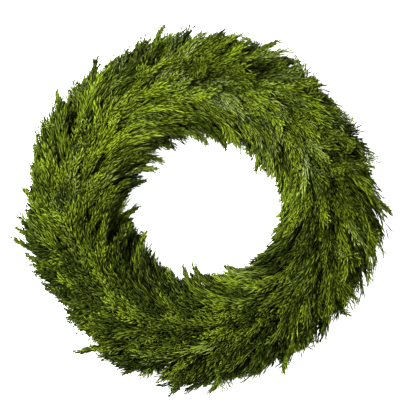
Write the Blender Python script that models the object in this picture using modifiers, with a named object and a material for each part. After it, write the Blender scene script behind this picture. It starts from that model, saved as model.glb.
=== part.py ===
# Cypress wreath, lying on its back with its face up (+Z) and its top towards +Y.
# A steel ring with a clamp for each row holds the cut stems. Every row has three bunches of
# foliage: one leans out, one lies on the face and one leans in to the hole. All of them sweep
# clockwise, as a wreath is bound, and each row covers the stems of the next.
# Lengths are in metres and angles in degrees.

import math
import random

import bmesh
import bpy
from mathutils import Matrix, Vector

# The foliage in section: an ellipse round the ring, which the surface under the wreath cuts off.
FACE_RADIUS = 0.203  # from the wreath's axis to the middle of the ellipse
FACE_HALF_WIDTH = 0.095
FACE_HEIGHT = 0.042  # of the ellipse's middle
FACE_HALF_HEIGHT = 0.066
HOLE_SHIFT = 0.0075  # the hole lies this far off the middle, to the right
HOLE_ROW_DEG = 67.0  # the row that starts here ends on the side that the hole is shifted to
HOLE_FRINGE = 0.004  # the foliage hangs this far past the ellipse, into the hole

# The ring and its clamps
RING_RADIUS = 0.190
RING_WIRE = 0.0020  # radius of the wire
RING_STEPS = 36
CLAMP_HALF = 0.0012  # half of a clamp's thickness: it is bent from square wire
CLAMP_WELD = 0.0004  # how deep the ring sits in a clamp
CLAMP_SHOULDER = (0.28, 0.74)  # how far out a prong turns down, as shares of a clamp's half width
CLAMP_SLOPE = 0.22  # drop from the first of these to the second, as a share of it
CLAMP_FOOT = 0.60  # where a prong meets the surface under the wreath
FIT_GAP = 0.0003

# The stems: two side by side on the ring and one on top of them
STEM_RADIUS = 0.0020
STEM_SPREAD = 0.0023  # of the lower two, to either side of the ring
STEM_LENGTH_DEG = 13.0
CLAMP_FROM_FOLIAGE_DEG = 6.5

# The rows
ROWS = 18
ROW_STEP_DEG = 360 / ROWS
FIRST_ROW_DEG = 93.5  # leaves the ring bare at the top of the wreath, between two rows

# The columns: name, the angles round the section between which it fans, its sprays, the
# twigs on each of them, and how far its middle leans over from the straight way out.
COLUMNS = (
    ("outer", 3.0, 59.0, 3, 5, 42.0),
    ("front", 61.0, 119.0, 3, 5, 58.0),
    ("inner", 121.0, 176.0, 2, 5, 42.0),
)
FLOW_CURVE = 0.80  # 1 is a straight sweep, and less starts flatter along the ring
ROW_MARGIN = 0.82  # share of a row that its own foliage fills
SEED = 16  # of the draw that varies the sprays
FAN_ENDS = 0.42  # share of the way out at which a bunch has fanned to its full width

# Sprays and the leafy twigs on them
SPRAY_RISE = (0.0, 0.16, 0.38, 0.66)
SPRAY_RADIUS = (0.0016, 0.0026, 0.0034, 0.0030)
SPRAY_TIP_RADIUS = 0.0006
SPRAY_REACH = (0.92, 1.09)  # shortest and longest, as shares of the way out
SPRAY_OFFSET = 0.42  # every other spray lies to the other side of the bunch's middle
SPRAY_OFFSET_JITTER = 0.12
SPRAY_INSET = 0.94  # pulls the sprays in from the edges of the bunch
TWIG_RADIUS = 0.0014
TWIG_RISE = 0.33
TWIG_ROOTS = (0.28, 0.74)
TWIG_ROOT_JITTER = (0.2, 0.8)
TWIG_SLIP = 0.5  # along the ring, to either side of its spray
TWIG_SPREAD = 0.86  # of the spray's own lane, which the twigs fill
TWIG_REACH_ROUND = (0.75, 1.0)  # shortest and longest, as shares of that
TWIG_LIMIT = 0.97  # of the bunch's width, past which no tip goes
TWIG_TOP_RISE = 1.07

# Colours
DEEP_GREEN = (0.035, 0.075, 0.012, 1.0)
FRESH_GREEN = (0.130, 0.200, 0.018, 1.0)
WIRE_GREEN = (0.020, 0.045, 0.025, 1.0)
FRESH_SHARE = 0.4

RING_HEIGHT = 2 * CLAMP_HALF + RING_WIRE - CLAMP_WELD
STEM_DISTANCE = RING_WIRE + FIT_GAP + STEM_RADIUS
SIDE_STEM_HEIGHT = RING_HEIGHT + math.sqrt(STEM_DISTANCE**2 - STEM_SPREAD**2)
TOP_STEM_RISE = 2 * STEM_RADIUS + math.sqrt(2) * FIT_GAP - STEM_SPREAD  # flat on flat


def new_collection(name, hidden=False):
    collection = bpy.data.collections.new(name)
    bpy.context.scene.collection.children.link(collection)
    collection.hide_render = hidden
    return collection


def new_material(name, color, roughness, metallic=0.0):
    material = bpy.data.materials.new(name)
    material.use_nodes = True
    shader = material.node_tree.nodes["Principled BSDF"]
    shader.inputs["Base Color"].default_value = color
    shader.inputs["Roughness"].default_value = roughness
    shader.inputs["Metallic"].default_value = metallic
    return material


def point_at(turn, radius, height):
    """The point at an angle round the wreath, in degrees, counted from +X."""
    angle = math.radians(turn)
    return Vector((radius * math.cos(angle), radius * math.sin(angle), height))


# The flow: lines that leave the stems and sweep clockwise out to the face of the foliage


def reach(turn, theta):
    """How far the face is from the stems, at an angle round the section: 0 is out, 90 is up."""
    out = math.cos(math.radians(theta))
    up = math.sin(math.radians(theta))
    x = RING_RADIUS - FACE_RADIUS
    z = SIDE_STEM_HEIGHT - FACE_HEIGHT
    a = (out / FACE_HALF_WIDTH) ** 2 + (up / FACE_HALF_HEIGHT) ** 2
    b = x * out / FACE_HALF_WIDTH**2 + z * up / FACE_HALF_HEIGHT**2
    c = (x / FACE_HALF_WIDTH) ** 2 + (z / FACE_HALF_HEIGHT) ** 2 - 1
    distance = (math.sqrt(b * b - a * c) - b) / a
    shift = HOLE_SHIFT * math.cos(math.radians(turn - HOLE_ROW_DEG))
    return distance + max(0.0, -out) * (HOLE_FRINGE - shift)


def sweep(theta, lean):
    """The angle round the wreath from a stem to its tip, for a lean from the straight way out."""
    distance = reach(HOLE_ROW_DEG + 90, theta)  # of a row that the shift leaves as it is
    radius = RING_RADIUS + distance * math.cos(math.radians(theta))
    travel = math.tan(math.radians(lean)) * distance / FLOW_CURVE
    return math.degrees(travel / radius)


def lean_at(theta):
    """The lean at an angle round the section, smooth from one column's to the next."""
    outer, front = COLUMNS[0][-1], COLUMNS[1][-1]
    return outer + (front - outer) * math.sin(math.radians(theta)) ** 2


def flow_point(turn, theta, rise):
    """The point on the flow line from (turn, theta), at a share of its way out."""
    distance = STEM_SPREAD + rise * (reach(turn, theta) - STEM_SPREAD)
    radius = RING_RADIUS + distance * math.cos(math.radians(theta))
    height = SIDE_STEM_HEIGHT + distance * math.sin(math.radians(theta))
    advance = sweep(theta, lean_at(theta)) * max(rise, 0.0) ** FLOW_CURVE
    return point_at(turn - advance, radius, height)


# Shapes


def mitre(points, index):
    """How much wider a tube is at a bend than beside it, so that its sides stay straight."""
    if index in (0, len(points) - 1):
        return 1.0
    bend = (points[index] - points[index - 1]).angle(points[index + 1] - points[index])
    return 1 / math.cos(bend / 2)


def tube(name, points, radii, collection, roll=0.0):
    """A closed four-sided tube along points, with its own radius at each, rolled about its run."""
    curve = bpy.data.curves.new(name, "CURVE")
    curve.dimensions = "3D"
    curve.bevel_depth = 0.001
    curve.bevel_resolution = 0
    curve.use_fill_caps = True
    spline = curve.splines.new("POLY")
    spline.points.add(len(points) - 1)
    for index, spline_point in enumerate(spline.points):
        spline_point.co = (*points[index], 1.0)
        spline_point.radius = radii[index] * mitre(points, index) / curve.bevel_depth
        spline_point.tilt = roll
    path = bpy.data.objects.new(name, curve)
    collection.objects.link(path)
    return as_mesh(path, collection)


def as_mesh(path, collection):
    """The curve object as a mesh object, with its caps welded on."""
    bpy.context.view_layer.update()
    evaluated = path.evaluated_get(bpy.context.evaluated_depsgraph_get())
    mesh = bpy.data.meshes.new_from_object(evaluated)
    name, place = path.name, path.matrix_world.copy()
    bpy.data.objects.remove(path)
    shape = bmesh.new()
    shape.from_mesh(mesh)
    bmesh.ops.remove_doubles(shape, verts=shape.verts, dist=1e-6)
    bmesh.ops.recalc_face_normals(shape, faces=shape.faces)
    shape.to_mesh(mesh)
    shape.free()
    made = bpy.data.objects.new(name, mesh)
    made.matrix_world = place
    collection.objects.link(made)
    return made


def twig(name, root, tip, collection):
    """A three-sided leafy twig that tapers to a point."""
    way = tip - root
    turn = way.to_track_quat("Z", "Y").to_matrix().to_4x4()
    shape = bmesh.new()
    bmesh.ops.create_cone(
        shape,
        cap_ends=True,
        segments=3,
        radius1=TWIG_RADIUS,
        radius2=0.0,
        depth=way.length,
        matrix=Matrix.Translation((root + tip) / 2) @ turn,
    )
    bmesh.ops.remove_doubles(shape, verts=shape.verts, dist=1e-6)
    mesh = bpy.data.meshes.new(name)
    shape.to_mesh(mesh)
    shape.free()
    made = bpy.data.objects.new(name, mesh)
    collection.objects.link(made)
    return made


def fuse(body, repeats):
    """Joins everything in the collection repeats to body, as one solid, and empties it."""
    union = body.modifiers.new("Union", "BOOLEAN")
    union.operation = "UNION"
    union.solver = "EXACT"
    union.operand_type = "COLLECTION"
    union.collection = repeats
    bpy.context.view_layer.update()
    evaluated = body.evaluated_get(bpy.context.evaluated_depsgraph_get())
    mesh = bpy.data.meshes.new_from_object(evaluated)
    body.modifiers.clear()
    body.data = mesh
    for piece in list(repeats.objects):
        bpy.data.objects.remove(piece)


# The ring and its clamps


def make_ring(collection):
    """The ring: a six-sided wire with one flat towards the hole, turned round the axis."""
    profile = bpy.data.meshes.new("ring_profile")
    shape = bmesh.new()
    place = Matrix.Translation((RING_RADIUS, 0, RING_HEIGHT)) @ Matrix.Rotation(math.pi / 2, 4, "X")
    bmesh.ops.create_circle(shape, segments=6, radius=RING_WIRE, matrix=place)
    shape.to_mesh(profile)
    shape.free()
    ring = bpy.data.objects.new("clamp_ring", profile)
    ring.rotation_euler.z = math.radians(90 + 180 / RING_STEPS)  # a flat's middle at the top
    collection.objects.link(ring)
    screw = ring.modifiers.new("Turn", "SCREW")
    screw.axis = "Z"
    screw.angle = math.tau
    screw.steps = RING_STEPS
    screw.render_steps = RING_STEPS
    screw.use_merge_vertices = True
    screw.merge_threshold = 1e-5
    return ring


def clamp_path(turn):
    """A clamp's two prongs, as one wire: over the stems, down, under the ring, and up again."""
    side = STEM_SPREAD + STEM_RADIUS + FIT_GAP + CLAMP_HALF
    top = SIDE_STEM_HEIGHT + TOP_STEM_RISE + STEM_RADIUS + FIT_GAP + CLAMP_HALF
    half = (
        (CLAMP_SHOULDER[0] * side, top),
        (CLAMP_SHOULDER[1] * side, top - CLAMP_SLOPE * side),
        (side, SIDE_STEM_HEIGHT),
        (CLAMP_FOOT * side, CLAMP_HALF),
    )
    section = [*half, *((-x, z) for x, z in reversed(half))]
    return [point_at(turn, RING_RADIUS + x, z) for x, z in section]


def make_clamp_ring(parts, repeats):
    ring = make_ring(parts)
    for row in range(ROWS):
        points = clamp_path(row_turn(row) + CLAMP_FROM_FOLIAGE_DEG)
        corner = CLAMP_HALF * math.sqrt(2)
        tube(f"clamp_{row}", points, [corner] * len(points), repeats, roll=math.pi / 4)
    fuse(ring, repeats)
    return ring


# The bunches


def row_turn(row):
    """Where a row's foliage starts."""
    return FIRST_ROW_DEG + row * ROW_STEP_DEG


def stem_points(row, column):
    """The stem, from its cut end to where its foliage starts."""
    spread = {"outer": STEM_SPREAD, "front": 0.0, "inner": -STEM_SPREAD}[column]
    height = SIDE_STEM_HEIGHT + (TOP_STEM_RISE if column == "front" else 0.0)
    return [
        point_at(row_turn(row) + STEM_LENGTH_DEG * share, RING_RADIUS + spread, height)
        for share in (1.0, 0.5, 0.0)
    ]


def point_on_run(run, share):
    """The point on a spray's own straight stretches, at a share of its rise."""
    rises = [*SPRAY_RISE, 1.0]
    index = max(i for i in range(len(SPRAY_RISE)) if rises[i] <= share)
    return run[index].lerp(run[index + 1], (share - rises[index]) / (rises[index + 1] - rises[index]))


def make_bunch(row, column, low, high, sprays, twigs, parts, repeats, draw):
    """One bunch: a stem, the sprays that fan from it, and the twigs of each spray."""
    start = row_turn(row)
    middle = (low + high) / 2
    half_fan = (high - low) / 2
    half_row = ROW_STEP_DEG * ROW_MARGIN / 2

    def place(across, round_section, rise):
        """A point of the bunch. across and round_section run from -1 to 1 over its width."""
        fan = min(1.0, rise / FAN_ENDS)
        fan = fan * fan * (3 - 2 * fan)
        theta = middle + half_fan * round_section * fan
        return flow_point(start + half_row * across * fan, theta, rise)

    stem = stem_points(row, column)
    made = []
    for number in range(sprays):
        lane = ((number + 0.5) / sprays * 2 - 1) * SPRAY_INSET
        across = SPRAY_OFFSET if number % 2 else -SPRAY_OFFSET
        across += draw.uniform(-SPRAY_OFFSET_JITTER, SPRAY_OFFSET_JITTER)
        lane_half = TWIG_SPREAD / sprays
        end = draw.uniform(*SPRAY_REACH)
        points = [place(across, lane, rise * end) for rise in (*SPRAY_RISE[1:], 1.0)]
        radii = [*SPRAY_RADIUS[1:], SPRAY_TIP_RADIUS]
        run = [stem[-1], *points]
        if number == 0:
            points = [*stem, *points]
            radii = [STEM_RADIUS] * len(stem) + radii
        else:
            points = run
            radii = [SPRAY_RADIUS[0], *radii]
        made.append(tube(f"spray_{number}", points, radii, repeats))
        for leaf in range(twigs):
            share = (leaf + draw.uniform(*TWIG_ROOT_JITTER)) / twigs
            root_share = TWIG_ROOTS[0] + (TWIG_ROOTS[1] - TWIG_ROOTS[0]) * share
            root_rise = root_share * end
            side = 1 if (leaf + number) % 2 else -1
            slip = draw.uniform(-TWIG_SLIP, TWIG_SLIP)
            swerve = side * lane_half * draw.uniform(*TWIG_REACH_ROUND)
            tip_lane = max(-TWIG_LIMIT, min(TWIG_LIMIT, lane + swerve))
            tip_across = max(-TWIG_LIMIT, min(TWIG_LIMIT, across + slip))
            tip_rise = min(TWIG_TOP_RISE, root_rise + TWIG_RISE)
            twig(
                f"twig_{number}_{leaf}",
                point_on_run(run, root_share),
                place(tip_across, tip_lane, tip_rise),
                repeats,
            )
    body = made[0]
    repeats.objects.unlink(body)
    parts.objects.link(body)
    body.name = f"bunch_{column}_{row + 1:02d}"
    fuse(body, repeats)
    return body


def main():
    for obj in list(bpy.data.objects):
        bpy.data.objects.remove(obj)
    parts = new_collection("cypress_wreath")
    repeats = new_collection("repeats", hidden=True)
    wire = new_material("green_coated_wire", WIRE_GREEN, 0.45, 0.6)
    greens = (
        new_material("cypress_deep_green", DEEP_GREEN, 0.6),
        new_material("cypress_fresh_green", FRESH_GREEN, 0.6),
    )
    draw = random.Random(SEED)
    make_clamp_ring(parts, repeats).data.materials.append(wire)
    for row in range(ROWS):
        for column, low, high, sprays, twigs, _ in COLUMNS:
            bunch = make_bunch(row, column, low, high, sprays, twigs, parts, repeats, draw)
            bunch.data.materials.append(greens[draw.random() < FRESH_SHARE])
    bpy.data.collections.remove(repeats)


main()
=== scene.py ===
# Cypress wreath on its clamp ring, seen from straight above its face.
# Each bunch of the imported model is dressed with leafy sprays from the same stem. They sweep the
# same way round, but not as far as the solids do, and their edges follow the photo's.
import math

import bpy
import numpy as np
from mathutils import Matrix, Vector, noise


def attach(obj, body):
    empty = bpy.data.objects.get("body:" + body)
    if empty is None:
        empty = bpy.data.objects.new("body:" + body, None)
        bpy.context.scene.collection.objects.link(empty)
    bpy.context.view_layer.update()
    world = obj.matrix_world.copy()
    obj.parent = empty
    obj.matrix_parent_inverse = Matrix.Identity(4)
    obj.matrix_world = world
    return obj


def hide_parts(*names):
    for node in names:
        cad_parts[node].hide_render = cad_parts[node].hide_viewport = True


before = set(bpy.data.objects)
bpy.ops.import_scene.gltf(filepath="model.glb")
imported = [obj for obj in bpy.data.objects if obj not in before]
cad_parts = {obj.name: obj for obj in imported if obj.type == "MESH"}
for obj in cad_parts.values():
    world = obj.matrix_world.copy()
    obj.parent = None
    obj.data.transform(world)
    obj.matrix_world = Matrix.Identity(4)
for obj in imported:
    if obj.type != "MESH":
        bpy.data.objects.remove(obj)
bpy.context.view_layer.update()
print("frame loaded:", len(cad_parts), "nodes")


# Camera and light

view = {
    "height": 3.0,
    "aimX": 0.0116,
    "aimY": 0.0014,
    "pixel": 0.001584,  # the size of one of the photo's pixels on the foliage
    "side": 416,
    "focus": 0.045,  # how high up a pixel has that size
    "filmWidth": 36,
}
studio = {
    "keyPlace": (-0.70, 0.30, 1.55),
    "keySize": 0.35,
    "keyPower": 124,
    "fillPlace": (0.9, -0.6, 1.9),
    "fillSize": 1.6,
    "fillPower": 22,
    "skyStrength": 0.31,
}


def makeCamera():
    data = bpy.data.cameras.new("camera")
    data.sensor_width = view["filmWidth"]
    distance = view["height"] - view["focus"]
    data.lens = view["filmWidth"] * distance / (view["pixel"] * view["side"])
    camera = bpy.data.objects.new("camera", data)
    camera.location = (view["aimX"], view["aimY"], view["height"])
    bpy.context.scene.collection.objects.link(camera)
    bpy.context.scene.camera = camera


def addSoftbox(name, place, size, power):
    lamp = bpy.data.lights.new(name, "AREA")
    lamp.size = size
    lamp.energy = power
    box = bpy.data.objects.new(name, lamp)
    box.location = place
    box.rotation_euler = (-Vector(place)).to_track_quat("-Z", "Y").to_euler()
    box.visible_camera = False
    bpy.context.scene.collection.objects.link(box)


makeCamera()
addSoftbox("keyLight", studio["keyPlace"], studio["keySize"], studio["keyPower"])
addSoftbox("fillLight", studio["fillPlace"], studio["fillSize"], studio["fillPower"])
world = bpy.data.worlds.new("studio")
world.use_nodes = True
sky = world.node_tree.nodes["Background"]
sky.inputs["Color"].default_value = (1, 1, 1, 1)
sky.inputs["Strength"].default_value = studio["skyStrength"]
bpy.context.scene.world = world
bpy.context.scene.view_settings.view_transform = "Standard"
print("camera and light set")


# Materials: one small class writes shader maths as plain expressions


class Wire:
    def __init__(self, socket):
        self.socket = socket
        self.tree = socket.id_data

    def node(self, kind, settings, inputs, output=None):  # gives the output named, or the first
        made = self.tree.nodes.new(kind)
        for name, value in settings.items():
            setattr(made, name, value)
        for name, value in inputs.items():
            sockets = [s for s in made.inputs if s.enabled]
            if isinstance(name, int):
                socket = sockets[name]
            else:
                socket = next(s for s in sockets if s.name == name)
            if isinstance(value, Wire):
                self.tree.links.new(value.socket, socket)
            elif socket.type == "RGBA":
                socket.default_value = (*value, 1)
            else:
                socket.default_value = value
        return Wire(next(s for s in made.outputs if s.enabled and output in (None, s.name)))

    def other(self, name):  # another output of the same node
        return Wire(self.socket.node.outputs[name])

    def maths(self, operation, first, second):
        return self.node("ShaderNodeMath", {"operation": operation}, {0: first, 1: second})

    def __add__(self, value):
        return self.maths("ADD", self, value)

    def __sub__(self, value):
        return self.maths("SUBTRACT", self, value)

    def __rsub__(self, value):
        return self.maths("SUBTRACT", value, self)

    def __mul__(self, value):
        return self.maths("MULTIPLY", self, value)

    __radd__ = __add__
    __rmul__ = __mul__

    def clamped(self):
        return self.node("ShaderNodeClamp", {}, {"Value": self})

    def mixed(self, first, second):  # this value is how much of the second colour shows
        inputs = {"Factor": self, "A": first, "B": second}
        return self.node("ShaderNodeMix", {"data_type": "RGBA"}, inputs)

    def dimmed(self, value):  # this colour times a value
        inputs = {0: self, "Scale": value}
        return self.node("ShaderNodeVectorMath", {"operation": "SCALE"}, inputs)

    def grained(self, size, detail):  # noise at this place
        inputs = {"Vector": self, "Scale": size, "Detail": detail}
        return self.node("ShaderNodeTexNoise", {}, inputs)

    def embossed(self, look):  # this value as the height of a relief
        depths = {"Strength": look["reliefStrength"], "Distance": look["reliefDepth"]}
        return self.node("ShaderNodeBump", {}, {**depths, "Height": self})


def newMaterial(name, look):
    material = bpy.data.materials.new(name)
    material.use_nodes = True
    shader = material.node_tree.nodes["Principled BSDF"]
    shader.inputs["Roughness"].default_value = look["roughness"]
    shader.inputs["Specular IOR Level"].default_value = look["specular"]
    return material, shader


def objectPlace(material):
    return Wire(material.node_tree.nodes.new("ShaderNodeTexCoord").outputs["Object"])


def leafValues(place):  # tone, place along the thread, grey-green (or cut wood) and depth shade
    leaf = place.node("ShaderNodeAttribute", {"attribute_name": "leaf"}, {}, "Color")
    red = place.node("ShaderNodeSeparateColor", {}, {"Color": leaf}, "Red")
    return red, red.other("Green"), red.other("Blue"), leaf.other("Alpha")


def feed(shader, wires):
    for name, wire in wires.items():
        wire.tree.links.new(wire.socket, shader.inputs[name])


foliageLook = {
    "deep": (0.0125, 0.0222, 0.0007),
    "fresh": (0.193, 0.288, 0.0045),
    "sageDeep": (0.036, 0.056, 0.011),
    "sagePale": (0.245, 0.305, 0.108),
    # lit is a painted highlight: a pale colour mixed into each thread towards its tip
    "lit": (0.36, 0.42, 0.075),
    "litFrom": 0.50,  # how far along a thread its painted highlight starts
    "litShare": 0.30,
    "mottleSize": 300.0,
    "mottleDetail": 3.0,
    "mottleContrast": 0.35,
    "tipTone": 0.18,  # how much fresher a thread is at its tip than at its root
    "scaleSize": 950.0,
    "scaleShade": 0.25,  # painted shade: how dark the gaps between the scale leaves are
    "rootLight": 0.42,
    "tipLight": 0.70,  # painted light added on the way to the tip, over the painted shade at a thread's root
    "reliefStrength": 0.45,
    "reliefDepth": 0.0004,
    "roughness": 0.60,
    "specular": 0.04,
}


def foliageMaterial():
    look = foliageLook
    material, shader = newMaterial("cypressFoliage", look)
    place = objectPlace(material)
    tone, along, sage, depth = leafValues(place)
    mottle = place.grained(look["mottleSize"], look["mottleDetail"])
    scales = place.node("ShaderNodeTexVoronoi", {}, {"Vector": place, "Scale": look["scaleSize"]})
    tone = tone + (mottle - 0.5) * look["mottleContrast"] + (along - 0.5) * look["tipTone"]
    tone = tone.clamped()
    litRise = look["litShare"] / (1 - look["litFrom"])
    # painted highlight towards each thread's tip
    lit = ((along - look["litFrom"]) * litRise).clamped() * tone
    green = tone.mixed(look["deep"], look["fresh"])
    grey = tone.mixed(look["sageDeep"], look["sagePale"])
    color = lit.mixed(sage.mixed(green, grey), look["lit"])
    # painted shade and light: each thread darker at its root and in the gaps between its scale leaves,
    # lighter at its tip
    shade = look["rootLight"] + along * look["tipLight"] - scales * look["scaleShade"]
    relief = (1 - scales).embossed(look)
    # the colour is dimmed by this painted shade and by the painted depth shade of its frond
    feed(shader, {"Base Color": color.dimmed(shade * depth), "Normal": relief})
    return material


barkLook = {
    "dark": (0.018, 0.014, 0.006),
    "light": (0.060, 0.045, 0.020),
    "cut": (0.42, 0.33, 0.19),
    "grainSize": 420.0,
    "grainDetail": 4.0,
    "reliefStrength": 0.5,
    "reliefDepth": 0.0005,
    "roughness": 0.75,
    "specular": 0.2,
}


def barkMaterial():
    look = barkLook
    material, shader = newMaterial("cypressBark", look)
    place = objectPlace(material)
    cut = leafValues(place)[2]
    grain = place.grained(look["grainSize"], look["grainDetail"])
    color = cut.mixed(grain.mixed(look["dark"], look["light"]), look["cut"])
    feed(shader, {"Base Color": color, "Normal": grain.embossed(look)})
    return material


wireLook = {
    "paint": (0.016, 0.052, 0.026),
    "faded": (0.045, 0.085, 0.045),
    "steel": (0.30, 0.29, 0.27),
    "wearSize": 260.0,
    "wearDetail": 5.0,
    "wearFrom": 0.64,  # the steel shows where the noise is above this
    "wearEdge": 14.0,
    "wearRoughness": 0.3,
    "cloudSize": 45.0,
    "cloudDetail": 2.0,
    "metallic": 0.9,
    "reliefStrength": 0.25,
    "reliefDepth": 0.0003,
    "roughness": 0.34,
    "specular": 0.5,
}


def wireMaterial():
    look = wireLook
    material, shader = newMaterial("greenCoatedWire", look)
    place = objectPlace(material)
    wear = place.grained(look["wearSize"], look["wearDetail"])
    cloud = place.grained(look["cloudSize"], look["cloudDetail"])
    bare = ((wear - look["wearFrom"]) * look["wearEdge"]).clamped()
    links = {
        "Base Color": bare.mixed(cloud.mixed(look["paint"], look["faded"]), look["steel"]),
        "Roughness": look["roughness"] + wear * look["wearRoughness"],
        "Metallic": bare * look["metallic"],
        "Normal": cloud.embossed(look),
    }
    feed(shader, links)
    return material


foliage, bark, coatedWire = foliageMaterial(), barkMaterial(), wireMaterial()
print("materials made")


# The floor, lit from within as a white studio floor

floorLook = {
    "color": (0.93, 0.93, 0.93),
    "glow": 0.90,
    "roughness": 0.9,
    "specular": 0.0,
    "size": 8.0,
    "drop": 0.0003,
}


def makeFloor():
    material, shader = newMaterial("paleFloor", floorLook)
    shader.inputs["Base Color"].default_value = (*floorLook["color"], 1)
    shader.inputs["Emission Color"].default_value = (1, 1, 1, 1)
    shader.inputs["Emission Strength"].default_value = floorLook["glow"]
    bpy.ops.object.select_all(action="DESELECT")
    bpy.ops.mesh.primitive_plane_add(size=floorLook["size"], location=(0, 0, -floorLook["drop"]))
    floor = bpy.context.object
    floor.name = "floor"
    floor.data.materials.append(material)


makeFloor()
print("floor made")


# The sweep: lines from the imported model's stems to the face of the foliage. They are of the same
# kind as there, with a lean and curve of their own: on the face they end 18 degrees sooner.

sweep = {
    "ringRadius": 0.190,
    "faceRadius": 0.203,
    "faceHalfWidth": 0.095,
    "faceHeight": 0.042,
    "faceHalfHeight": 0.066,
    "stemSpread": 0.0023,
    "stemHeight": 0.007633,
    "topStemRise": 0.002124,
    "sideLean": 38.0,
    "frontLean": 62.0,
    "sideCurve": 0.66,
    "frontCurve": 1.35,
    "parting": 90.0,
    "combing": 34.0,
    "rows": 18,
    "firstRow": 93.5,
    "fanEnds": 0.42,
    "outFrom": 0.3,  # the ways out of the foliage start at this share of faceHeight
    "lowestPath": 0.0022,
    "lowestPoint": 0.0004,
    "wayStep": 0.02,  # half the share of a path over which its direction is taken
}
rowStep = 360 / sweep["rows"]

# Radius of the foliage's two edges round the wreath in the photo's pixels, measured there by a
# script, with 14 of the hole's then moved by hand, and a trim for each
edges = {
    "every": 10,  # degrees
    "outer": (
        (180, 176, 176, 175, 174, 175, 178, 180, 176, 176, 180, 178, 174, 173, 179, 178, 177, 175),
        (180, 180, 176, 171, 173, 179, 182, 177, 180, 180, 176, 174, 176, 172, 174, 178, 180, 183),
    ),
    "hole": (
        (80, 79, 77, 70, 69, 72, 71, 67, 71, 71, 70, 69, 69, 70, 64, 63, 70, 75),
        (69, 65, 64, 62, 62, 65, 68, 69, 63, 59, 63, 65, 69, 72, 73, 75, 75, 78),
    ),
    "outerTrim": 186.5,
    "holeTrim": 68.7,
}


def edgeRadius(name, turn):
    radii = np.array(edges[name]).ravel() - edges[name + "Trim"]
    return np.interp(turn, np.arange(0, 360, edges["every"]), radii, period=360) * view["pixel"]


def faceDistance(turn, theta):  # from the stems to the face, at an angle round the section
    out = np.cos(np.radians(theta))
    end = turn - tipAdvance(theta)
    outwards = edgeRadius("outer", end) * np.maximum(0, out) ** 2
    return plainDistance(theta) + outwards - edgeRadius("hole", end) * np.maximum(0, -out)


def tipAdvance(theta):  # how far round the wreath a line has swept when it reaches the face
    lean = leanTowards(theta, sweep["sideLean"], sweep["frontLean"])
    curve = leanTowards(theta, sweep["sideCurve"], sweep["frontCurve"])
    distance = plainDistance(theta)
    across = distance * np.cos(np.radians(theta)) + sweep["ringRadius"]
    return np.degrees(np.tan(np.radians(lean)) * distance / curve / across)


def plainDistance(theta):  # to the face of an even wreath
    s = sweep
    out, up = np.cos(np.radians(theta)), np.sin(np.radians(theta))
    x = s["ringRadius"] - s["faceRadius"]
    z = s["stemHeight"] - s["faceHeight"]
    a = (out / s["faceHalfWidth"]) ** 2 + (up / s["faceHalfHeight"]) ** 2
    b = x * out / s["faceHalfWidth"] ** 2 + z * up / s["faceHalfHeight"] ** 2
    c = (x / s["faceHalfWidth"]) ** 2 + (z / s["faceHalfHeight"]) ** 2 - 1
    return (np.sqrt(b * b - a * c) - b) / a


def leanTowards(theta, side, front):  # a value that changes from the wreath's sides to its face
    return side + (front - side) * np.sin(np.radians(theta)) ** 2


def sweepPoint(turn, theta, rise):
    s = sweep
    curve = leanTowards(theta, s["sideCurve"], s["frontCurve"])
    distance = s["stemSpread"] + rise * (faceDistance(turn, theta) - s["stemSpread"])
    radius = s["ringRadius"] + distance * np.cos(np.radians(theta))
    height = s["stemHeight"] + distance * np.sin(np.radians(theta))
    angle = np.radians(turn - tipAdvance(theta) * np.maximum(rise, 0) ** curve)
    return np.stack([radius * np.cos(angle), radius * np.sin(angle), height], axis=-1)


def sectionOut(points):  # the way out of the foliage, square to its face
    radius = np.hypot(points[..., 0], points[..., 1])
    flat = points[..., :2] / radius[..., None]
    out = (radius - sweep["faceRadius"]) / sweep["faceHalfWidth"] ** 2
    up = (points[..., 2] - sweep["outFrom"] * sweep["faceHeight"]) / sweep["faceHalfHeight"] ** 2
    way = np.concatenate([flat * out[..., None], up[..., None]], axis=-1)
    return way / np.linalg.norm(way, axis=-1, keepdims=True)


# Masters: leafy fronds of a few kinds, a cane and a stem, each modelled once along +X

frond = {
    "length": 0.044,
    "root": 0.0011,
    "rootWidest": 0.45,
    "threadGirth": 0.00112,
    "threadWidest": 0.70,
    "threadLift": 12,
    "threadBow": 0.06,
    "threadsFrom": 0.04,  # where along the frond its first thread stands
    "threadsOver": 0.82,
    "threadShift": 0.2,
    "reachAtRoot": 1.1,
    "reachFall": 0.3,
    "toneJitter": 0.12,
    "firstSeed": 100,
}
frondKinds = {  # forms is how many of a kind are modelled
    "open": {"threads": 9, "reach": (0.0120, 0.0170), "angles": (14, 26), "girth": 1.0, "forms": 2},
    "plain": {"threads": 8, "reach": (0.0165, 0.0230), "angles": (8, 17), "girth": 1.0, "forms": 3},
    "slim": {"threads": 6, "reach": (0.0210, 0.0280), "angles": (5, 12), "girth": 1.0, "forms": 2},
    "twig": {"threads": 8, "reach": (0.0130, 0.0180), "angles": (6, 14), "girth": 1.35, "forms": 2},
    "filler": {"threads": 6, "reach": (0.0160, 0.0240), "angles": (12, 30), "girth": 1.9, "forms": 2},
}
rods = {  # each has the radius and the length 1
    "cane": {"sides": 4, "parts": 6, "rim": 0},
    "stem": {"sides": 8, "parts": 8, "rim": 0.22},
}


def selectNearEnd(piece):  # leaves it in edit mode with the faces that look back along X selected
    bpy.ops.object.mode_set(mode="EDIT")
    bpy.ops.mesh.select_all(action="DESELECT")
    bpy.ops.object.mode_set(mode="OBJECT")
    for face in piece.data.polygons:
        face.select = face.normal.x < -0.9
    bpy.ops.object.mode_set(mode="EDIT")


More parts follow.
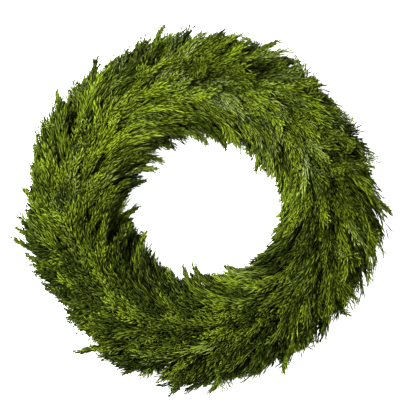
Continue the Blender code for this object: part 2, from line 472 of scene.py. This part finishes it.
def addThread(length, girth, widest, tone, random):  # a three-sided spindle from the origin
    bpy.ops.object.select_all(action="DESELECT")
    bpy.ops.mesh.primitive_cone_add(
        vertices=3,
        radius1=girth,
        radius2=0,
        depth=(1 - widest) * length,
        location=((1 + widest) / 2 * length, 0, 0),
        rotation=(0, math.pi / 2, 0),
    )
    thread = bpy.context.object
    bpy.ops.object.transform_apply(location=True, rotation=True, scale=True)
    selectNearEnd(thread)
    bow = random.uniform(-frond["threadBow"], frond["threadBow"], 2) * length
    bpy.ops.transform.translate(value=(0, bow[0], bow[1]))
    bpy.ops.mesh.poke(offset=widest * length)
    bpy.ops.object.mode_set(mode="OBJECT")
    root = min(thread.data.vertices, key=lambda vertex: vertex.co.x)
    root.co.y = root.co.z = 0
    look = thread.data.attributes.new("leaf", "FLOAT_COLOR", "POINT")
    for vertex, value in zip(thread.data.vertices, look.data):
        value.color = (tone, vertex.co.x / length, 0, 1)
    return thread


def makeFrond(kind, seed):
    random = np.random.default_rng(seed)
    threads, girth = kind["threads"], frond["threadGirth"] * kind["girth"]
    made = [addThread(frond["length"], frond["root"], frond["rootWidest"], 0.0, random)]
    for index in range(threads):
        place = index + random.uniform(-frond["threadShift"], frond["threadShift"])
        share = frond["threadsFrom"] + frond["threadsOver"] * place / (threads - 1)
        reach = random.uniform(*kind["reach"]) * (frond["reachAtRoot"] - frond["reachFall"] * share)
        tone = random.uniform(-1, 1) * frond["toneJitter"]
        thread = addThread(reach, girth, frond["threadWidest"], tone, random)
        yaw = (1 if index % 2 else -1) * math.radians(random.uniform(*kind["angles"]))
        lift = math.radians(random.uniform(-frond["threadLift"], frond["threadLift"]))
        thread.rotation_euler = (0, lift, yaw)
        thread.location = (max(share, 0) * frond["length"], 0, 0)
        bpy.ops.object.transform_apply(location=True, rotation=True, scale=True)
        made.append(thread)
    bpy.ops.object.select_all(action="DESELECT")
    for thread in made:
        thread.select_set(True)
    bpy.context.view_layer.objects.active = made[0]
    bpy.ops.object.join()
    return takeMaster(bpy.context.object, frond["length"])


def makeRod(rod):  # with a rim of bark round a pale core where its near end is cut
    bpy.ops.object.select_all(action="DESELECT")
    bpy.ops.mesh.primitive_cylinder_add(
        vertices=rod["sides"],
        radius=1,
        depth=1,
        location=(0.5, 0, 0),
        rotation=(0, math.pi / 2, 0),
    )
    made = bpy.context.object
    bpy.ops.object.transform_apply(location=True, rotation=True, scale=True)
    bpy.ops.object.mode_set(mode="EDIT")
    for cut in range(1, rod["parts"]):
        bpy.ops.mesh.select_all(action="SELECT")
        bpy.ops.mesh.bisect(plane_co=(cut / rod["parts"], 0, 0), plane_no=(1, 0, 0))
    if rod["rim"]:
        selectNearEnd(made)
        bpy.ops.mesh.inset(thickness=rod["rim"])
    bpy.ops.object.mode_set(mode="OBJECT")
    look = made.data.attributes.new("leaf", "FLOAT_COLOR", "POINT")
    for vertex, value in zip(made.data.vertices, look.data):
        isNear = vertex.co.x < 0.5 / rod["parts"]
        isCore = math.hypot(vertex.co.y, vertex.co.z) < 1 - rod["rim"] / 2
        value.color = (0, vertex.co.x, isNear and isCore, 1)
    return takeMaster(made, 1)


def readValues(items, name, width=1, kind=np.float64):
    values = np.empty(len(items) * width, kind)
    items.foreach_get(name, values)
    return values


def takeMaster(made, length):  # its mesh as arrays, and the object itself is removed
    mesh = made.data
    master = {
        "points": readValues(mesh.vertices, "co", 3).reshape(-1, 3),
        "look": readValues(mesh.attributes["leaf"].data, "color", 4).reshape(-1, 4),
        "corners": readValues(mesh.loops, "vertex_index", kind=np.int64),
        "sizes": readValues(mesh.polygons, "loop_total", kind=np.int64),
        "length": length,
    }
    bpy.data.objects.remove(made)
    bpy.data.meshes.remove(mesh)
    return master


def countTriangles(sizes):  # of faces with these numbers of corners
    return int((sizes - 2).sum())


frondForms, formsOf = [], {}
for name, kind in frondKinds.items():
    formsOf[name] = np.arange(kind["forms"]) + len(frondForms)
    for form in range(kind["forms"]):
        frondForms.append(makeFrond(kind, frond["firstSeed"] + len(frondForms)))
cane, stem = makeRod(rods["cane"]), makeRod(rods["stem"])
print("triangles of the frond forms:", [countTriangles(form["sizes"]) for form in frondForms])


# Bending copies of a master along paths


def bendCopies(master, path, scale, roll):
    # path(share) gives the points of all copies at a share of their length, with one row a copy
    local = master["points"]
    share = (local[:, 0] / master["length"])[None, :]
    middle = path(share)
    way = path(share + sweep["wayStep"]) - path(share - sweep["wayStep"])
    way /= np.linalg.norm(way, axis=-1, keepdims=True)
    side = np.cross(way, sectionOut(middle))
    side /= np.linalg.norm(side, axis=-1, keepdims=True)
    over = np.cross(way, side)
    turn, rise = np.cos(roll)[:, None, None], np.sin(roll)[:, None, None]
    sideways = turn * side + rise * over
    upwards = turn * over - rise * side
    y = (scale * local[None, :, 1])[..., None]
    z = (scale * local[None, :, 2])[..., None]
    return middle + y * sideways + z * upwards


class Bundle:  # collects copies for one piece
    leafSlot, barkSlot = 0, 1

    def __init__(self):
        self.points, self.looks, self.corners, self.sizes, self.slots = [], [], [], [], []
        self.count = 0

    def add(self, master, points, look, slot):
        copies, size = len(points), len(master["points"])
        offsets = self.count + size * np.arange(copies)
        self.points.append(points.reshape(-1, 3))
        self.looks.append(look.reshape(-1, 4))
        self.corners.append((master["corners"][None, :] + offsets[:, None]).ravel())
        self.sizes.append(np.tile(master["sizes"], copies))
        self.slots.append(np.full(copies * len(master["sizes"]), slot))
        self.count += copies * size

    def build(self, name):
        points = np.concatenate(self.points)
        points[:, 2] = np.maximum(points[:, 2], sweep["lowestPoint"])
        corners, sizes = np.concatenate(self.corners), np.concatenate(self.sizes)
        mesh = bpy.data.meshes.new(name)
        mesh.vertices.add(len(points))
        mesh.vertices.foreach_set("co", points.astype(np.float32).ravel())
        mesh.loops.add(len(corners))
        mesh.loops.foreach_set("vertex_index", corners.astype(np.int32))
        mesh.polygons.add(len(sizes))
        mesh.polygons.foreach_set("loop_start", (np.cumsum(sizes) - sizes).astype(np.int32))
        mesh.polygons.foreach_set("material_index", np.concatenate(self.slots).astype(np.int32))
        mesh.update(calc_edges=True)
        mesh.shade_smooth()
        look = mesh.attributes.new("leaf", "FLOAT_COLOR", "POINT")
        look.data.foreach_set("color", np.concatenate(self.looks).astype(np.float32).ravel())
        mesh.materials.append(foliage)
        mesh.materials.append(bark)
        made = bpy.data.objects.new(name, mesh)
        bpy.context.scene.collection.objects.link(made)
        return made


# The bunches: low and high are angles round the section, from the outer side over the face

bunches = {
    "outer": {"low": -2.0, "high": 61.0, "lanes": 6, "across": 4, "fronds": 21, "side": 1, "lean": 45},
    "front": {"low": 59.0, "high": 121.0, "lanes": 4, "across": 3, "fronds": 26, "side": 0, "lean": 60},
    "inner": {"low": 119.0, "high": 182.0, "lanes": 4, "across": 2, "fronds": 27, "side": -1, "lean": 45},
}
bunchSeeds = 1000  # a column's seeds start this far from those of the column before it


def fanned(rise):
    fan = np.clip(rise / sweep["fanEnds"], 0, 1)
    return fan * fan * (3 - 2 * fan)


def sectionSpan(style):  # the middle and half the width of what a bunch fills of the section
    return (style["low"] + style["high"]) / 2, (style["high"] - style["low"]) / 2


def sprayPoint(start, style, across, lane, rise):  # across and lane run from -1 to 1
    fan = fanned(rise)
    middle, half = sectionSpan(style)
    end = middle + half * lane
    combed = sweep["combing"] * np.sin(np.radians(2 * (end - sweep["parting"]))) * (1 - rise)
    theta = middle + (half * lane - combed) * fan
    points = sweepPoint(start + rowStep / 2 * across * fan, theta, rise)
    points[..., 2] = np.maximum(points[..., 2], sweep["lowestPath"])
    return points


# Their stems

stemStyle = {"radius": 0.0019, "turn": 13.0}


def stemPath(start, style, share):  # along the ring to where the foliage rises from it
    share = np.clip(share, -sweep["wayStep"], 1 + sweep["wayStep"])
    angle = np.radians(start + stemStyle["turn"] * (1 - share))
    radius = sweep["ringRadius"] + style["side"] * sweep["stemSpread"]
    lift = sweep["topStemRise"] if style["side"] == 0 else 0.0
    height = np.full_like(angle, sweep["stemHeight"] + lift)
    return np.stack([radius * np.cos(angle), radius * np.sin(angle), height], axis=-1)


def addStem(bundle, start, style):
    def stemLine(share):
        return stemPath(start, style, share)

    bent = bendCopies(stem, stemLine, stemStyle["radius"], np.zeros(1))
    bundle.add(stem, bent, stem["look"][None], bundle.barkSlot)


# Their canes, one for each spray, in even lanes and steps, and some more for tufts that stand out

caneStyle = {
    "jitter": 0.3,
    "reach": (0.80, 1.07),  # where a spray ends, as a share of the way to the face
    "swing": 0.60,
    "tilt": 0.27,
    "foot": 0.01,
    "length": 0.85,
    "radius": 0.0013,
    "taper": 0.75,
    "roll": 6.0,
    # a cane's tone, place along, grey-green and painted depth shade
    "look": (0.15, 0.45, 0.0, 0.5),
}
tuftSpray = {"reach": 0.98, "share": 0.46, "straying": 0.20, "size": 0.85}
tufts = {  # where each stands round the wreath and round the section, and how many mm it stands out
    "outer": (
        (1, 20, 20), (66, 25, 11), (103, 15, 17), (127, 30, 19), (142, 20, 14), (160, 10, 9),
        (187, 15, 14), (191, 25, 20), (196, 10, 14), (231, 20, 20), (246, 10, 14), (262, 20, 18),
        (274, 15, 12), (298, 20, 13),
    ),
    "front": (),
    "inner": (
        (36, 160, 8), (70, 150, 9), (88, 155, 12), (116, 150, 8), (132, 160, 14), (142, 150, 12),
        (157, 155, 13), (181, 160, 12), (206, 155, 8), (256, 160, 11), (267, 150, 12),
        (297, 155, 12),
    ),
}
millimetre = 0.001


def tuftCanes(column, row):  # the tufts that start in this row: lane, place across it and reach
    middle, half = sectionSpan(bunches[column])
    found = []
    for turn, theta, proud in tufts[column]:
        start = turn + tipAdvance(theta) - sweep["firstRow"]
        across = (start - row * rowStep + rowStep / 2) % 360 - rowStep / 2
        if abs(across) <= rowStep / 2:
            reach = tuftSpray["reach"] + proud * millimetre / plainDistance(theta)
            found.append(((theta - middle) / half, across / (rowStep / 2), reach))
    return np.array(found).reshape(-1, 3).T


def layCanes(column, row, random):
    lanes, steps = bunches[column]["lanes"], bunches[column]["across"]
    lane, across = (grid.ravel() for grid in np.meshgrid(np.arange(lanes), np.arange(steps)))
    count, jitter = len(lane), caneStyle["jitter"]
    lane = (lane + 0.5 + random.uniform(-jitter, jitter, count)) / lanes * 2 - 1
    across = (across + 0.5 + random.uniform(-jitter, jitter, count)) / steps * 2 - 1
    end = random.uniform(*caneStyle["reach"], count)
    swing = random.normal(0, caneStyle["swing"], count)
    tilt = random.normal(0, caneStyle["tilt"], count)
    tuftLane, tuftAcross, tuftEnd = tuftCanes(column, row)
    still = np.zeros(len(tuftLane))
    return {
        "lane": np.append(lane, tuftLane),
        "across": np.append(across, tuftAcross),
        "end": np.append(end, tuftEnd),
        "swing": np.append(swing, still),
        "tilt": np.append(tilt, still),
        "isTuft": np.arange(count + len(still)) >= count,
    }


def addCanes(bundle, start, style, canes, random):
    own = {name: values[:, None] for name, values in canes.items()}
    along, count = cane["points"][None, :, 0], len(canes["lane"])

    def caneLine(share):
        rise = caneStyle["foot"] + caneStyle["length"] * own["end"] * share
        sideways = own["across"] + own["swing"] * rise**3
        upwards = own["lane"] + own["tilt"] * rise**3
        return sprayPoint(start, style, sideways, upwards, rise)

    middle = caneLine(along)
    roll = random.uniform(0, caneStyle["roll"], count)
    bent = bendCopies(cane, caneLine, caneStyle["radius"], roll)
    taper = (1 - caneStyle["taper"] * along)[..., None]
    look = np.tile(caneStyle["look"], (count, len(cane["look"]), 1))
    bundle.add(cane, middle + (bent - middle) * taper, look, bundle.leafSlot)


# Their fronds: each starts on its cane and ends somewhere in the field that the cane's fronds fill

frondField = {
    "size": (0.70, 1.10),
    "deepSize": 0.45,
    "deepGirth": 1.2,
    "deepest": 0.36,
    "crowding": 0.62,
    "straying": 0.72,
    "laneLimit": 1.04,
    "wave": 0.06,
    "waves": 4.5,
    "phases": 6.3,
    "settling": 1.7,
    "roll": 0.5,
    "fillers": 0.36,  # the share of a cane's fronds that fill the foliage from within
    "fillerSwing": 0.30,
    "rimFrom": 30.0,
    "rimFade": 18.0,
    "rimCover": 0.62,  # how far the fillers reach out at the rims
    "coverEnd": 1.05,
    "narrowRim": 0.5,
    "formStep": 5,
}


def pickForms(pick, rim, isFiller):
    usual = np.concatenate([formsOf["open"], formsOf["plain"], formsOf["slim"]])
    narrow = np.concatenate([formsOf["slim"], formsOf["twig"]])
    filler = formsOf["filler"]
    isNarrow = rim > frondField["narrowRim"]
    forms = np.where(isNarrow, narrow[pick % len(narrow)], usual[pick % len(usual)])
    return np.where(isFiller, filler[pick % len(filler)], forms)


def layFronds(style, canes, random):
    field = frondField
    fronds, count = style["fronds"], len(canes["lane"])
    owner = np.repeat(np.arange(count), fronds)
    number = np.tile(np.arange(fronds), count)
    total = len(owner)
    own = {name: values[owner] for name, values in canes.items()}

    share = (number + random.uniform(0, 1, total)) / fronds
    share = np.where(own["isTuft"], 1 - tuftSpray["share"] * (1 - share), share)
    size = random.uniform(*field["size"], total) * (1 + field["deepSize"] * (1 - share))
    size *= np.where(own["isTuft"], tuftSpray["size"], 1)
    middle, half = sectionSpan(style)
    flowLength = plainDistance(middle) / math.cos(math.radians(style["lean"]))

    straying = field["straying"] * np.where(own["isTuft"], tuftSpray["straying"], 1)
    tip = field["deepest"] + (own["end"] - field["deepest"]) * share ** field["crowding"]
    tipAcross = own["across"] + random.uniform(-1, 1, total) * straying / style["across"]
    tipLane = own["lane"] + random.uniform(-1, 1, total) * straying / style["lanes"]
    tipLane = np.clip(tipLane, -field["laneLimit"], field["laneLimit"])
    theta = middle + half * tipLane
    rim = np.clip((field["rimFrom"] - np.minimum(theta, 180 - theta)) / field["rimFade"], 0, 1)
    isFiller = (number < field["fillers"] * fronds) & ~own["isTuft"]
    tip += field["rimCover"] * rim * isFiller * (field["coverEnd"] - tip)
    loose = np.where(isFiller, field["fillerSwing"], 1)
    return {
        "owner": owner,
        "share": share,
        "gain": size * frond["length"] / flowLength,
        "girth": size * (1 + (field["deepGirth"] - 1) * (1 - share) ** 2),
        "caneAcross": own["across"],
        "caneLane": own["lane"],
        "caneEnd": own["end"],
        "tip": tip,
        "tipAcross": tipAcross,
        "tipLane": tipLane,
        "rim": rim,
        "swing": own["swing"] * loose,
        "tilt": own["tilt"] * loose,
        "wave": random.uniform(-1, 1, total) * field["wave"],
        "phase": random.uniform(0, field["phases"], total),
        "form": pickForms(number * field["formStep"] + owner, rim, isFiller),
    }


def addFronds(bundle, start, style, master, own, random):  # own holds a column for each value
    count = len(own["tip"])

    def frondLine(along):
        ease = 1 - (1 - np.clip(along, 0, 1)) ** frondField["settling"]
        sway = own["wave"] * np.sin(frondField["waves"] * along + own["phase"]) * ease
        rise = own["tip"] - own["gain"] * (1 - along)
        sideways = own["caneAcross"] * (1 - ease) + own["tipAcross"] * ease + sway
        upwards = own["caneLane"] * (1 - ease) + own["tipLane"] * ease + sway
        sideways += own["swing"] * rise**3
        upwards += own["tilt"] * rise**3
        return sprayPoint(start, style, sideways, upwards, rise)

    roll = random.normal(0, frondField["roll"], count)
    copies = bendCopies(master, frondLine, own["girth"], roll)
    look = np.tile(master["look"], (count, 1, 1))
    look[..., 0] = np.clip(look[..., 0] + own["tone"], 0, 1)
    look[..., 2] = own["sage"]
    look[..., 3] = own["shade"]
    bundle.add(master, copies, look, bundle.leafSlot)


# Their tints, from deep (0) to fresh (1) and from green (0) to grey-green (1)

tint = {
    "average": 0.285,
    "frondJitter": 0.10,
    "sprayJitter": 0.20,
    "patchSize": 17.0,
    "patchContrast": 0.14,
    "tuftSize": 52.0,
    "tuftContrast": 0.68,
    "topTone": 0.05,  # how much higher the tone is at the wreath's top than in its middle
    "greyLift": 0.40,
    "rimCalm": 0.65,  # how near the rims' tones come to the average
    "rimFall": 0.09,
    "sageAverage": -0.30,
    "frondSage": 0.26,
    "spraySage": 0.24,
    "sageSize": 19.0,
    "sageContrast": 0.75,
    "sageShift": 5,
    "topSage": 0.13,
    "sageLimit": 0.8,
    # painted shade: deep fronds darker, less so at the rims, and the fronds of shorter canes darker still
    "deepShade": 0.36,  # painted shade: how bright the deepest fronds are
    "rimShade": 0.60,
    "shadow": 0.34,
}
# Patches, chosen by comparing the render with the photo: angle round the wreath, radius, strength
# fresh patches raise the tone and shaded ones lower it, partly the foliage's own tone and partly painted
# light and painted shade
patches = {
    "reach": 0.019,
    "fresh": (
        (108, 0.170, 0.30), (92, 0.215, 0.25), (124, 0.195, 0.20), (160, 0.235, 0.25),
        (172, 0.262, 0.15), (45, 0.215, 0.30), (28, 0.200, 0.30), (65, 0.180, 0.30),
        (5, 0.130, 0.35), (140, 0.180, 0.25), (350, 0.122, 0.45), (308, 0.124, 0.45),
        (36, 0.135, 0.15), (128, 0.180, 0.25), (152, 0.190, 0.30), (100, 0.190, 0.25),
        (60, 0.192, 0.20), (170, 0.180, 0.20), (292, 0.125, 0.20), (5, 0.155, 0.30),
        (20, 0.168, 0.25), (300, 0.125, 0.15), (330, 0.222, 0.15), (310, 0.187, 0.15),
        (62, 0.118, 0.30), (115, 0.188, 0.20), (137, 0.188, 0.20), (165, 0.188, 0.25),
        (60, 0.187, 0.20), (35, 0.218, 0.30), (190, 0.157, 0.25), (102, 0.262, 0.30),
        (5, 0.122, 0.35), (300, 0.123, 0.20),
    ),
    "shaded": (
        (205, 0.125, 0.45), (350, 0.155, 0.25), (52, 0.188, 0.25), (112, 0.155, 0.20),
        (245, 0.205, 0.10), (265, 0.160, 0.30), (205, 0.240, 0.20), (185, 0.140, 0.30),
        (340, 0.185, 0.20), (325, 0.240, 0.15), (290, 0.240, 0.15), (160, 0.118, 0.30),
        (143, 0.118, 0.25), (22, 0.260, 0.25), (70, 0.235, 0.25), (285, 0.155, 0.20),
        (190, 0.262, 0.30), (150, 0.265, 0.20), (245, 0.262, 0.30), (215, 0.255, 0.20),
        (255, 0.130, 0.20), (235, 0.120, 0.20), (325, 0.130, 0.25), (100, 0.118, 0.25),
        (118, 0.114, 0.30), (162, 0.114, 0.30), (22, 0.266, 0.20), (245, 0.266, 0.20),
        (165, 0.264, 0.25), (142, 0.264, 0.15), (340, 0.155, 0.25), (40, 0.187, 0.20),
        (90, 0.262, 0.20), (60, 0.262, 0.15), (190, 0.258, 0.40), (120, 0.262, 0.20),
        (320, 0.123, 0.20), (80, 0.187, 0.10),
    ),
    "grey": (
        (45, 0.160, 0.45), (30, 0.175, 0.40), (100, 0.190, 0.50), (88, 0.155, 0.45),
        (125, 0.120, 0.20), (62, 0.152, 0.40), (75, 0.175, 0.45), (18, 0.180, 0.30),
        (215, 0.160, -0.40), (238, 0.165, -0.35), (205, 0.215, -0.50), (308, 0.165, -0.45),
        (328, 0.155, -0.30), (40, 0.120, 0.30), (82, 0.125, 0.20), (150, 0.115, 0.25),
        (60, 0.130, 0.20), (303, 0.128, -0.45), (270, 0.220, -0.35), (168, 0.218, -0.35),
    ),
}


def placedPatches(name, points):  # how strongly the patches of one kind show at each point
    total = np.zeros(len(points))
    for turn, radius, strength in patches[name]:
        place = radius * np.array([math.cos(math.radians(turn)), math.sin(math.radians(turn))])
        gap = np.linalg.norm(points[:, :2] - place, axis=1) / patches["reach"]
        total += strength * np.exp(-0.5 * gap**2)
    return total


def clouds(points, size, shift=0):
    offset = Vector((shift, 0, 0))
    return np.array([noise.noise(Vector(point) * size + offset) for point in points])


def tintFronds(start, style, fronds, random):
    ends = sprayPoint(start, style, fronds["tipAcross"], fronds["tipLane"], fronds["tip"])
    owner, share, rim = fronds["owner"], fronds["share"], fronds["rim"]
    total, count = len(owner), owner[-1] + 1
    grey = placedPatches("grey", ends)

    tone = tint["average"] + random.normal(0, tint["frondJitter"], total)
    tone += random.normal(0, tint["sprayJitter"], count)[owner]
    tone += tint["patchContrast"] * clouds(ends, tint["patchSize"])
    tone += tint["tuftContrast"] * clouds(ends, tint["tuftSize"])
    # patches: partly the foliage's own tone, partly painted light and painted shade
    tone += placedPatches("fresh", ends) - placedPatches("shaded", ends)
    tone += tint["topTone"] * ends[:, 1] / sweep["ringRadius"]
    tone += tint["greyLift"] * grey
    tone += (tint["average"] - tone) * tint["rimCalm"] * rim - tint["rimFall"] * rim

    sage = tint["sageContrast"] * clouds(ends, tint["sageSize"], tint["sageShift"])
    sage += random.normal(tint["sageAverage"], tint["frondSage"], total)
    sage += random.normal(0, tint["spraySage"], count)[owner]
    sage += grey + tint["topSage"] * ends[:, 1] / sweep["ringRadius"]
    sage = np.clip(sage, 0, tint["sageLimit"])

    # painted shade: fronds deep in the foliage, and those of shorter canes, are darkened, less so at the
    # rims
    deepShade = tint["deepShade"] + tint["rimShade"] * rim
    shade = deepShade + (1 - deepShade) * share**3
    low, high = caneStyle["reach"]
    shade *= 1 - tint["shadow"] * np.clip((high - fronds["caneEnd"]) / (high - low), 0, 1)
    return {**fronds, "tone": tone, "sage": sage, "shade": shade}


def makeBunch(column, row):
    style = bunches[column]
    random = np.random.default_rng(bunchSeeds * list(bunches).index(column) + row)
    start = sweep["firstRow"] + row * rowStep
    bundle = Bundle()
    addStem(bundle, start, style)
    canes = layCanes(column, row, random)
    addCanes(bundle, start, style, canes, random)
    fronds = tintFronds(start, style, layFronds(style, canes, random), random)
    for form, master in enumerate(frondForms):
        mine = np.flatnonzero(fronds["form"] == form)
        own = {name: values[mine][:, None] for name, values in fronds.items()}
        addFronds(bundle, start, style, master, own, random)

    made = bundle.build(f"{column}Bunch{row + 1:02d}")
    node = f"bunch_{column}_{row + 1:02d}"
    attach(made, "root")
    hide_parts(node)
    return sum(countTriangles(sizes) for sizes in bundle.sizes)


triangles = [makeBunch(column, row) for column in bunches for row in range(sweep["rows"])]
print("bunches made:", sum(triangles), "triangles")


# The ring and its clamps

ring = {"wire": 0.002, "height": 0.004, "steps": 144, "sides": 12}
clamp = {
    "wire": 0.0012,
    "sides": 10,
    "turnFromRow": 6.5,
    "flat": 0.0020,  # half the length of its flat underside
    "bendSteps": 5,
    "tipSize": 0.8,
    "seam": 0.0001,
    "doubles": 0.00001,
}
clampBends = (  # how far to spin, at what radius, and the straight after it
    (70, 0.0021, 0.0033),
    (39, 0.0040, 0.0026),
    (45, 0.0018, 0.0022),
)


def makeClamp():
    bpy.ops.object.select_all(action="DESELECT")
    bpy.ops.mesh.primitive_circle_add(
        vertices=clamp["sides"],
        radius=clamp["wire"],
        fill_type="NGON",
        location=(0, 0, clamp["wire"]),
        rotation=(0, math.pi / 2, 0),
    )
    made = bpy.context.object
    bpy.ops.object.transform_apply(location=True, rotation=True, scale=True)
    bpy.ops.object.mode_set(mode="EDIT")
    bpy.ops.mesh.select_all(action="SELECT")
    bpy.ops.mesh.extrude_region_move(TRANSFORM_OT_translate={"value": (clamp["flat"], 0, 0)})
    x, z, heading = clamp["flat"], clamp["wire"], 0.0
    for degrees, radius, straight in clampBends:
        centerX = x - radius * math.sin(heading)
        centerZ = z + radius * math.cos(heading)
        bpy.ops.mesh.spin(
            steps=clamp["bendSteps"],
            angle=math.radians(degrees),
            center=(centerX, 0, centerZ),
            axis=(0, 1, 0),
        )
        heading += math.radians(degrees)
        x = centerX + radius * math.sin(heading) + straight * math.cos(heading)
        z = centerZ - radius * math.cos(heading) + straight * math.sin(heading)
        run = (straight * math.cos(heading), 0, straight * math.sin(heading))
        bpy.ops.mesh.extrude_region_move(TRANSFORM_OT_translate={"value": run})
    bpy.ops.transform.resize(value=(clamp["tipSize"],) * 3, center_override=(x, 0, z))
    bpy.ops.mesh.select_all(action="DESELECT")
    bpy.ops.object.mode_set(mode="OBJECT")
    for face in made.data.polygons:  # the face between the two halves
        reach = max(abs(made.data.vertices[v].co.x) for v in face.vertices)
        face.select = reach < clamp["doubles"]
    bpy.ops.object.mode_set(mode="EDIT")
    bpy.ops.mesh.delete(type="ONLY_FACE")
    bpy.ops.object.mode_set(mode="OBJECT")
    mirror = made.modifiers.new("otherProng", "MIRROR")
    mirror.merge_threshold = clamp["seam"]
    bpy.ops.object.modifier_apply(modifier=mirror.name)
    bpy.ops.object.mode_set(mode="EDIT")
    bpy.ops.mesh.select_all(action="SELECT")
    bpy.ops.mesh.remove_doubles(threshold=clamp["doubles"])
    bpy.ops.mesh.normals_make_consistent(inside=False)
    bpy.ops.object.mode_set(mode="OBJECT")
    return made


def copyOf(piece):
    copy = piece.copy()
    copy.data = piece.data.copy()
    bpy.context.scene.collection.objects.link(copy)
    return copy


def makeClampRing():
    first = makeClamp()
    clamps = [first] + [copyOf(first) for row in range(1, sweep["rows"])]
    for row, piece in enumerate(clamps):
        turn = math.radians(sweep["firstRow"] + row * rowStep + clamp["turnFromRow"])
        radius = sweep["ringRadius"]
        piece.location = (radius * math.cos(turn), radius * math.sin(turn), 0)
        piece.rotation_euler = (0, 0, turn)
    bpy.ops.object.select_all(action="DESELECT")
    bpy.ops.mesh.primitive_torus_add(
        major_radius=sweep["ringRadius"],
        minor_radius=ring["wire"],
        major_segments=ring["steps"],
        minor_segments=ring["sides"],
        location=(0, 0, ring["height"]),
    )
    for piece in clamps:
        piece.select_set(True)
    bpy.ops.object.join()
    made = bpy.context.object
    bpy.ops.object.transform_apply(location=True, rotation=True, scale=True)
    made.name = "clampRing"
    made.data.shade_smooth()
    made.data.materials.clear()
    made.data.materials.append(coatedWire)
    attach(made, "root")
    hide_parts("clamp_ring")


makeClampRing()
print("clamp ring made")
